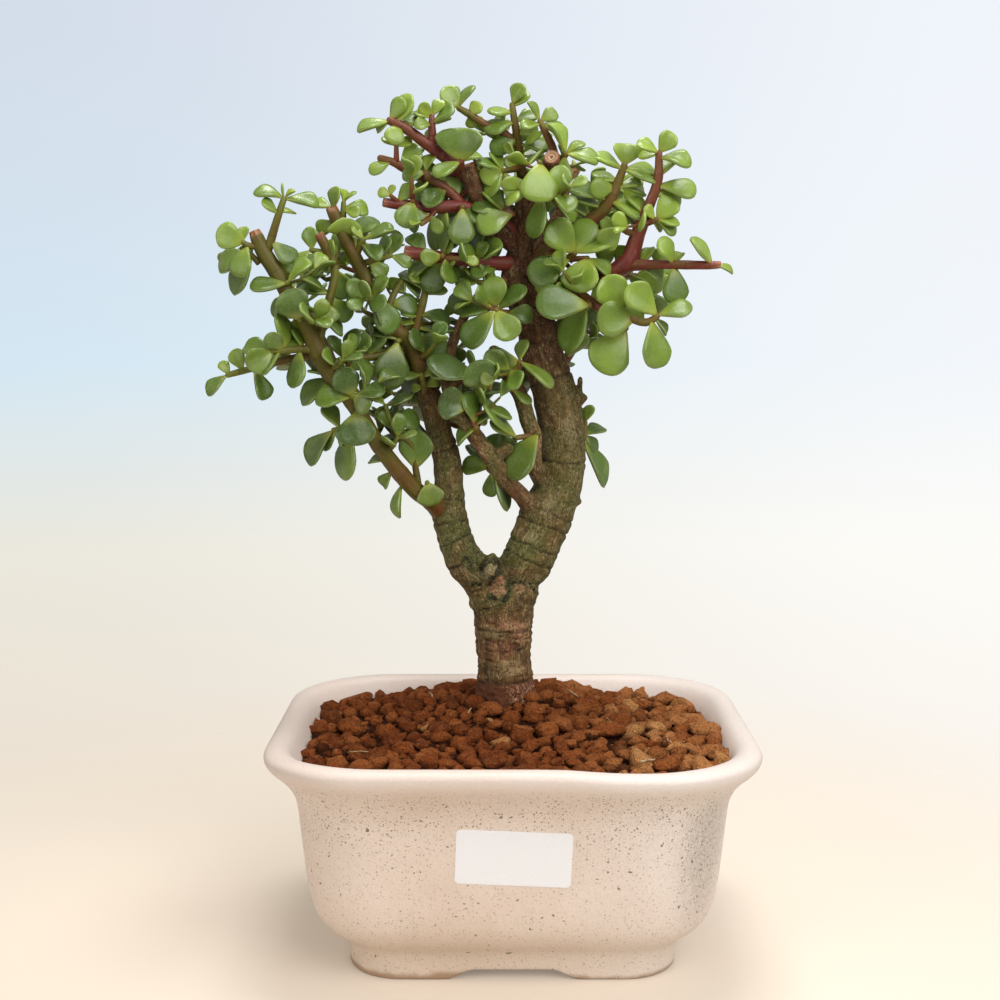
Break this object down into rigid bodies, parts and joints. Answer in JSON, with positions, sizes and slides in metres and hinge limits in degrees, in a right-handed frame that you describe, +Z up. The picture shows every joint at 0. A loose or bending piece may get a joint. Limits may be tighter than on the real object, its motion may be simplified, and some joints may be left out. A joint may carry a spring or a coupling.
{
  "type": "potted dwarf jade bonsai",
  "caption": "Small forked succulent tree with thick round leaves, in a low rounded-rectangle ceramic pot of gravelly soil, for show on a flat surface.",
  "frame": {"origin": "on the surface that the pot stands on, under the middle of the whole plant's bounding box", "axes": "+Z up, +Y from the labelled front of the pot to its back, +X to the right seen from the front"},
  "size_m": [0.1966, 0.15, 0.3228],
  "materials": {
    "glaze": "satin",
    "soil": "matte",
    "bark": "matte",
    "leaf": "satin",
    "paper": "satin",
    "screen": "matte"
  },
  "bodies": {
    "root": {"back_leader": "leaf", "back_left_limb": "leaf", "back_left_low": "leaf", "back_left_outer": "leaf", "back_left_top": "leaf", "back_middle": "leaf", "back_right_limb": "leaf", "back_right_low": "leaf", "back_right_outer": "leaf", "back_right_top": "leaf", "back_top": "leaf", "back_top_left": "leaf", "cut_side_branch": "leaf", "drain_mesh": "screen", "facing_stub_stem": "leaf", "inner_left_stem": "leaf", "label": "paper", "leader_stem": "leaf", "left_bough": "leaf", "left_top_branch": "leaf", "low_back_stem": "leaf", "low_middle_stem": "leaf", "low_right_stem": "leaf", "lower_inner_stem": "leaf", "middle_stem": "leaf", "pot": "glaze", "right_centre_stem": "leaf", "right_low_stem": "leaf", "right_stem": "leaf", "right_top_stem": "leaf", "scarred_twig": "leaf", "soil": "soil", "top_left_stem": "leaf", "trunk_rosette": "leaf", "upper_left_stem": "leaf", "upper_right_twig": "leaf", "wood": "bark"}
  },
  "joints": []
}
